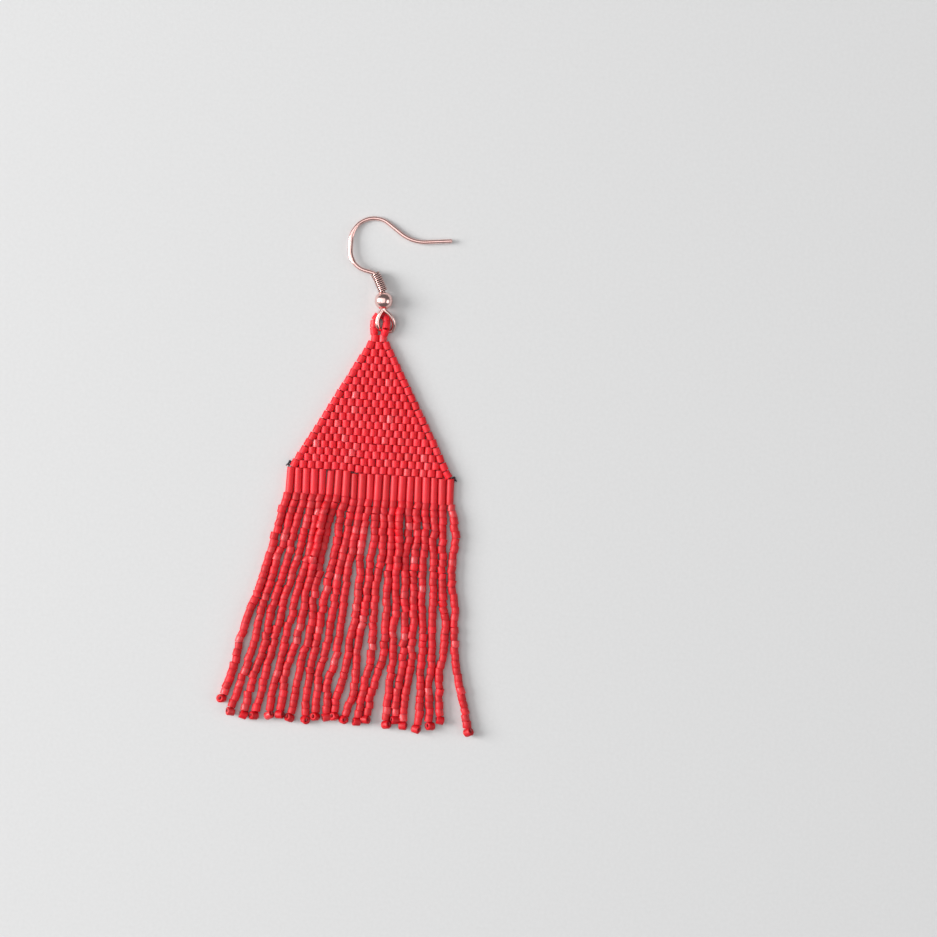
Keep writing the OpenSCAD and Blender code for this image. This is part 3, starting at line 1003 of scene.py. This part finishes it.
# %% [markdown]
# ## Lines of the fringe
#
# The CAD tubes of the strands hold their routes. A tube there is a stack of rings, all at
# one height of y, so the middle of each ring is a point of the strand's route. Reading it
# from the tube is safer than a second list of points, which could drift from the first.
#
# The real strands wander a little more than the tubes do. A simulation could drop them on
# the table, but it would lose the way that they really lie. So the script adds small bends,
# and then pushes neighbours apart where they would run into each other, all at once.

# %% Routes of the strands
# Distance between the levels, down from the fringe's top, at which places are worked out
LEVEL = 0.25


def strand_route(number):
    """Middles of the rings of a strand's CAD tube, from its top down."""
    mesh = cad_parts[f"strand_{number:02d}"].data
    corners = np.empty(3 * len(mesh.vertices), np.float32)
    mesh.vertices.foreach_get("co", corners)
    corners = np.unique((corners.reshape(-1, 3) / MM).round(3), axis=0)
    heights, ring = np.unique(corners[:, 1].round(2), return_inverse=True)
    sums = np.zeros((len(heights), 3))
    np.add.at(sums, ring.ravel(), corners)
    return (sums / np.bincount(ring.ravel())[:, None])[::-1]


routes = [strand_route(number) for number in range(1, STRANDS + 1)]
fringe_top = np.mean([route[0, 1] for route in routes])
strand_lengths = np.array([fringe_top - route[-1, 1] for route in routes])
levels = np.arange(0, strand_lengths.max() + LEVEL, LEVEL)


def on_levels(route, column):
    """One coordinate of a strand at each level, on a smooth curve through its route."""
    curve = smooth_curve(route)
    return np.interp(levels, fringe_top - curve[:, 1], curve[:, column])


strand_x = np.array([on_levels(route, 0) for route in routes])
strand_z = np.array([on_levels(route, 2) for route in routes])
print("the fringe starts at y =", round(float(fringe_top), 2), "mm, its strands are",
      strand_lengths.min().round(1), "to", strand_lengths.max().round(1), "mm long")

# %% Small bends and room
FRINGE_BEAD_R = 0.84
# How near two strands should come at most, a little less than two beads side by side
ROOM = 1.96 * FRINGE_BEAD_R
ROOM_ROUNDS = 80
KINK = 0.15
KINK_EVERY = (1.4, 5.0)
# More kinks than the longest strand has room for
KINKS = 40
HANG_FREE = 2.6


def kinks():
    """Small sideways bends of one strand: straight for one to four beads, then off again."""
    places = np.cumsum(chance.uniform(*KINK_EVERY, KINKS))
    return np.interp(levels, places, chance.normal(0, KINK, KINKS), left=0)


def with_room(x, z, room):
    """Pushes neighbours apart: they need a sideways distance of the root of room squared
    less the square of their difference in height, and each gives way by half."""
    x = x.copy()
    for _ in range(ROOM_ROUNDS):
        need = np.sqrt(np.clip(room ** 2 - np.diff(z, axis=0) ** 2, 0, None))
        push = np.clip(need - np.diff(x, axis=0), 0, None) / 2
        x[:-1] -= push
        x[1:] += push
    return x


strand_x = strand_x + np.array([kinks() for _ in routes])
# Each strand comes out of the middle of its bugle bead
at_top = np.clip(1 - levels / HANG_FREE, 0, 1)
strand_x = strand_x + (bugle_ends[:, :1] - strand_x[:, :1]) * at_top
strand_z = strand_z + (FRINGE_BEAD_R - strand_z[:, :1]) * at_top
strand_z = np.maximum(strand_z, FRINGE_BEAD_R)
strand_x = with_room(strand_x, strand_z, ROOM)
closest = np.hypot(np.diff(strand_x, axis=0), np.diff(strand_z, axis=0)).min()
print("neighbouring strands come as near as", round(float(closest), 3), "mm")

# %% [markdown]
# ## Beads of the fringe
#
# Beads are threaded one after another: each takes its own length of the line, so the joints
# are the running total of the beads' lengths. Copies at even steps would be simpler, but
# then the joints of neighbouring strands would line up, which real ones never do. The beads
# run into each other by a hair at their ends, so that no slit opens where they lie askew.
#
# Below the last bead the thread goes once round through an end bead that lies crosswise,
# and back up. Depending on how that bead came to lie, it shows its round end or its side.

# %% Line and end of a strand
FRINGE_BEAD_HALF = 0.72
JOINT_OVERLAP = 0.06
# Spread of the beads' directions, and the part of it to the side, along and up
ASKEW = 0.15
ASKEW_WAYS = [1, 0, 0.6]
END_ROLL = 1.2
END_GAP = 0.05
FRINGE_THREAD_R = 0.15
THREAD_IN_BUGLE = 1.5
THREAD_TURN = 0.25


def strand_line(number):
    """Line of a strand, level by level, from the lower end of its bugle bead."""
    down = levels[levels <= strand_lengths[number - 1]]
    line = np.stack([strand_x[number - 1, :len(down)], fringe_top - down,
                     strand_z[number - 1, :len(down)]], axis=1)
    line[0, 1] = bugle_ends[number - 1, 1] + JOINT_OVERLAP
    return line


def end_bead(last_joint, heading):
    """Centre and axis of the crosswise end bead, turned by chance round the strand: its
    axis is cos(roll) sideways + sin(roll) up, with a little of the strand's heading."""
    side = unit(np.cross(heading, UP))
    roll = chance.uniform(-END_ROLL, END_ROLL)
    axis = math.cos(roll) * side + math.sin(roll) * UP + chance.normal(0, ASKEW) * heading
    return last_joint + heading * (FRINGE_BEAD_R + END_GAP), unit(axis)


def end_thread(joints, heading, centre, axis):
    """Thread out of the bugle bead, down the strand, round through the end bead from one of
    its sides to the other, and back into the strand."""
    reach = FRINGE_BEAD_HALF + FRINGE_THREAD_R
    side_a = centre - axis * reach
    side_b = centre + axis * reach
    thread = np.vstack([
        joints[0] + [0, THREAD_IN_BUGLE, 0], joints[::2], joints[-1],
        side_a - heading * THREAD_TURN, side_a, side_b, side_b - heading * THREAD_TURN,
        joints[-1],
    ])
    thread[:, 2] = np.maximum(thread[:, 2], FRINGE_THREAD_R)
    return thread


print("the first strand's line has", len(strand_line(1)), "points")

# %% Beads of a strand
END_ROOM = 1.5
FRINGE_LENGTH_SPREAD = 0.03
# Difference of a bead's width from the usual one: its mean, its spread and both its limits
FRINGE_WIDTH_MEAN = -0.02
FRINGE_WIDTH_SPREAD = 0.04
FRINGE_WIDTH_LIMITS = (-0.09, 0.05)
OFF_LINE = [0.10, 0, 0.05]


def strand_beads(number):
    """Centres, axes, radii and half lengths of a strand's beads, the crosswise end bead
    last, and the line of the thread."""
    line = strand_line(number)
    run = running_length(line)[-1] - END_ROOM
    count = int(round(run / (2 * FRINGE_BEAD_HALF - JOINT_OVERLAP)))
    longer = chance.normal(0, FRINGE_LENGTH_SPREAD, count)
    longer = longer.clip(-2 * FRINGE_LENGTH_SPREAD, 2 * FRINGE_LENGTH_SPREAD)
    lengths = 2 * FRINGE_BEAD_HALF * (1 + longer)
    ends = np.concatenate([[0], np.cumsum(lengths - JOINT_OVERLAP)])
    ends = ends * run / ends[-1]
    joints = at_lengths(line, ends)
    centres = (joints[1:] + joints[:-1]) / 2
    axes = unit(np.diff(joints, axis=0) + chance.normal(0, ASKEW, (count, 3)) * ASKEW_WAYS)
    centres += spread(count, 3) * OFF_LINE
    halves = np.diff(ends) / 2 + JOINT_OVERLAP / 2
    wider = chance.normal(FRINGE_WIDTH_MEAN, FRINGE_WIDTH_SPREAD, count)
    radii = FRINGE_BEAD_R * (1 + wider.clip(*FRINGE_WIDTH_LIMITS))
    heading = unit(joints[-1] - joints[-2])
    end_centre, end_axis = end_bead(joints[-1], heading)
    centres = np.vstack([centres, end_centre])
    axes = np.vstack([axes, end_axis])
    radii = np.append(radii, FRINGE_BEAD_R)
    halves = np.append(halves, FRINGE_BEAD_HALF)
    centres = on_table(centres, axes, radii, halves)
    return centres, axes, radii, halves, end_thread(joints, heading, centres[-1], axes[-1])


# %% All strands
FRINGE_BEAD_EDGE = 0.07
FRINGE_BULGE = 0.22
FRINGE_SOFT_EDGE = (0.85, 0.5)
FRINGE_SLANT = 0.04
# The fringe's usual tone is lower than the weave's, more of its painted shade
FRINGE_SHADED_TONE = 0.3
FRINGE_RARITY = 14


def strand_piece(number):
    """A strand's beads in the place of its CAD tube; gives back its thread and how many
    beads it has."""
    centres, axes, radii, halves, thread = strand_beads(number)
    count = len(centres)
    slants = FRINGE_SLANT * spread(count, 2)
    rolls = chance.uniform(0, 2 * np.pi, count)
    points, faces, normals = turned(
        bead_outlines(radii, halves, FRINGE_BEAD_EDGE), centres, axes, BEAD_SIDES, rolls,
        slants, outline_normals(FRINGE_BULGE, FRINGE_SOFT_EDGE))
    new_piece(f"fringe_strand_{number:02d}", points, faces, fringe_shaded_glass, "fringe_beads",
              [f"strand_{number:02d}"], bead_values(count, FRINGE_SHADED_TONE, FRINGE_RARITY), normals)
    return swept(thread, FRINGE_THREAD_R, THREAD_SIDES), count


strands = [strand_piece(number) for number in range(1, STRANDS + 1)]
fringe_threads = new_piece("fringe_threads", *joined([thread for thread, _ in strands]),
                           red_thread, "fringe_beads")
print("fringe:", sum(count for _, count in strands), "beads, threads of",
      len(fringe_threads.data.polygons), "faces")

# %% [markdown]
# ## Knots at the corners
#
# At both lower corners of the triangle a darker thread is tied off. A knot could be drawn
# point by point, but an overhand knot is the simplest closed tangle, and a sum of a few
# sines gives its line. It is then squeezed, turned and swept as the other threads are.

# %% Corner knots
# Each: its middle from the middle of the lowest row, its long half and its short half, and
# the way that its ends point, in degrees
KNOTS = [((-16.3, 0.3), 0.52, 0.30, 58), ((16.62, -0.95), 0.42, 0.28, 118)]
KNOT_R = 0.12
KNOT_STEPS = 70
KNOT_CURVE_STEPS = 3
# Angle left open between its ends, height of its middle, size of its ups and downs, and how
# high above the table the whole knot sits
KNOT_OPEN = 0.35
KNOT_MIDDLE = 0.28
KNOT_WAVE = 0.2
KNOT_LIFT = 0.35
# Where the two ends lead, along, across and up, in a knot whose long half is the usual one
KNOT_ENDS = [[-0.9, 0.28, 0.16], [-0.9, -0.28, 0.16]]
KNOT_USUAL_HALF = 0.5


def knot(middle, long_half, short_half, heading):
    """An overhand knot pulled tight: at angle a the place is cos a - 2 cos 2a along and
    sin a + 2 sin 2a across, each times a third of the knot's half size, and -sin 3a up, with
    both ends led out a little further."""
    a = np.linspace(KNOT_OPEN, 2 * np.pi - KNOT_OPEN, KNOT_STEPS)
    line = np.stack([long_half / 3 * (np.cos(a) - 2 * np.cos(2 * a)),
                     short_half / 3 * (np.sin(a) + 2 * np.sin(2 * a)),
                     KNOT_MIDDLE - KNOT_WAVE * np.sin(3 * a)], axis=1)
    ends = np.array(KNOT_ENDS) * [long_half / KNOT_USUAL_HALF, 1, 1]
    line = np.vstack([ends[:1], line, ends[1:]])
    c, s = math.cos(math.radians(heading)), math.sin(math.radians(heading))
    turn = np.array([[c, s, 0], [-s, c, 0], [0, 0, 1]])
    line = smooth_curve(line @ turn, KNOT_CURVE_STEPS) + [*middle, KNOT_LIFT] + base_middle
    return swept(line, KNOT_R, THREAD_SIDES)


corner_knots = new_piece("corner_knots", *joined([knot(*place) for place in KNOTS]),
                         dark_thread)
print("knots:", len(KNOTS), "with", len(corner_knots.data.polygons), "faces")

# %% [markdown]
# ## The table
#
# The earring lies on a pale matt board. It could be a box or a curved backdrop, but the
# camera sees only its top, so one large square does. It is a stage, which isn't part of the
# earring. Its faint grain gives the shadows something to fall on.

# %% Floor
FLOOR_HALF = 1.5
FLOOR_GRAIN = 1500.0
FLOOR_GREY = (0.58, 0.58, 0.58, 1)
FLOOR_PALE = (0.63, 0.63, 0.63, 1)


def floor_finish():
    """A pale matt board with a very faint grain."""
    material, place = new_finish("pale_board")
    grain = noise(material, place, FLOOR_GRAIN, detail=4.0)
    colour = mixed(grain, FLOOR_GREY, FLOOR_PALE)
    return surface(material, {"IOR": 1.4, "Roughness": 0.8}, {"Base Color": colour},
                   height=grain, bump=0.00002)


floor_mesh = bpy.data.meshes.new("floor")
floor_mesh.from_pydata([(-FLOOR_HALF, -FLOOR_HALF, 0), (FLOOR_HALF, -FLOOR_HALF, 0),
                        (FLOOR_HALF, FLOOR_HALF, 0), (-FLOOR_HALF, FLOOR_HALF, 0)], [],
                       [(0, 1, 2, 3)])
floor_mesh.materials.append(floor_finish())
floor = bpy.data.objects.new("floor", floor_mesh)
bpy.context.scene.collection.objects.link(floor)
print("the table is", 2 * FLOOR_HALF, "m wide")

# %% [markdown]
# ## The camera
#
# It looks straight down at the table and is turned by a few degrees, which sets the earring
# a little askew in the picture. An orthographic camera would show no side of any bead. A
# real lens from less than half a metre does show a little, so this one has perspective. The
# lens follows from the height and from the width of table that the picture takes in.

# %% Camera
CAMERA_OVER = (0.02150, 0.00206)
CAMERA_HIGH = 0.45
CAMERA_TURN = math.radians(3.5)
VIEW_WIDTH = 0.1874
SENSOR_WIDTH = 36.0
NEAREST = 0.01

camera_data = bpy.data.cameras.new("camera")
camera_data.sensor_width = SENSOR_WIDTH
camera_data.lens = camera_data.sensor_width * CAMERA_HIGH / VIEW_WIDTH
camera_data.clip_start = NEAREST
camera = bpy.data.objects.new("camera", camera_data)
camera.location = (*CAMERA_OVER, CAMERA_HIGH)
camera.rotation_euler = (0, 0, CAMERA_TURN)
bpy.context.scene.collection.objects.link(camera)
bpy.context.scene.camera = camera
print("lens", round(camera_data.lens, 1), "mm")

# %% [markdown]
# ## The light
#
# One even light all round would make the beads look flat. So a soft lamp stands low to the
# left like a window, and gives each bead a light left side. A very wide weak one behind it
# is the pale wall round the window, which the polished wire mirrors. A panel above lights
# the table and the tops, a weak window to the right opens the shadows, and the pale room
# fills what is left.

# %% Lights
# Each: name, place in metres, side length in metres, power in watts
LAMPS = [
    ("window_left", (-1.42, 0.08, 0.74), 0.80, 32.5),
    ("pale_wall_left", (-1.40, -0.10, 1.16), 2.40, 8.5),
    ("panel_above", (-0.20, 0.0, 1.16), 1.30, 6.4),
    ("window_right", (1.10, -0.16, 0.68), 0.80, 3.6),
]
ROOM_COLOUR = (0.97, 0.98, 1.0, 1)
ROOM_LIGHT = 0.16


def soft_lamp(name, place, size, power):
    """A square area lamp that faces the middle of the earring."""
    lamp = bpy.data.lights.new(name, "AREA")
    lamp.size = size
    lamp.energy = power
    holder = bpy.data.objects.new(name, lamp)
    holder.location = place
    direction = -holder.location.normalized()
    holder.rotation_euler = direction.to_track_quat("-Z", "Y").to_euler()
    bpy.context.scene.collection.objects.link(holder)


for lamp_row in LAMPS:
    soft_lamp(*lamp_row)
world = bpy.data.worlds.new("pale_room")
world.use_nodes = True
background = world.node_tree.nodes["Background"]
background.inputs["Color"].default_value = ROOM_COLOUR
background.inputs["Strength"].default_value = ROOM_LIGHT
bpy.context.scene.world = world
bpy.context.scene.view_settings.view_transform = "Standard"
print("lamps:", ", ".join(name for name, *_ in LAMPS))
